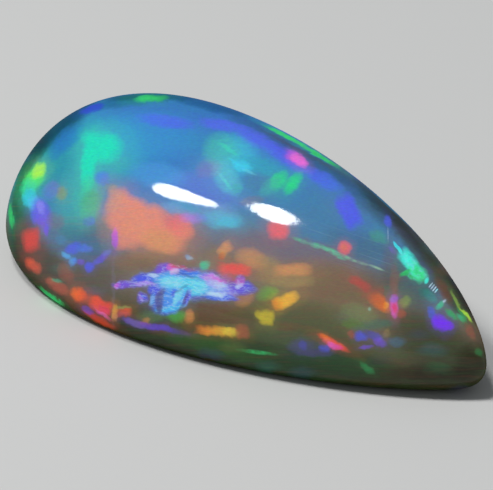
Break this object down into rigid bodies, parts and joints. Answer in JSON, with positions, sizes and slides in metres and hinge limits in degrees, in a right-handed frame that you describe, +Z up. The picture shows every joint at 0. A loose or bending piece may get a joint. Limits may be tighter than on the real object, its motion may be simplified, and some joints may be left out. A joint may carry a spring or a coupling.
{
  "type": "opal cabochon",
  "caption": "Pear-shaped polished opal cabochon, a high smooth dome on a flat base with a rounded underside, showing vivid flashes of colour in a blue body.",
  "frame": {"origin": "on the flat base, under the middle of the stone's length and width", "axes": "+X towards the pear's tip, along its length; +Y across its width; +Z up through the dome"},
  "size_m": [0.018, 0.009, 0.0056],
  "materials": {
    "opal": "high polish, translucent, with play of colour"
  },
  "bodies": {
    "root": {"opal_cabochon": "opal"}
  },
  "joints": []
}
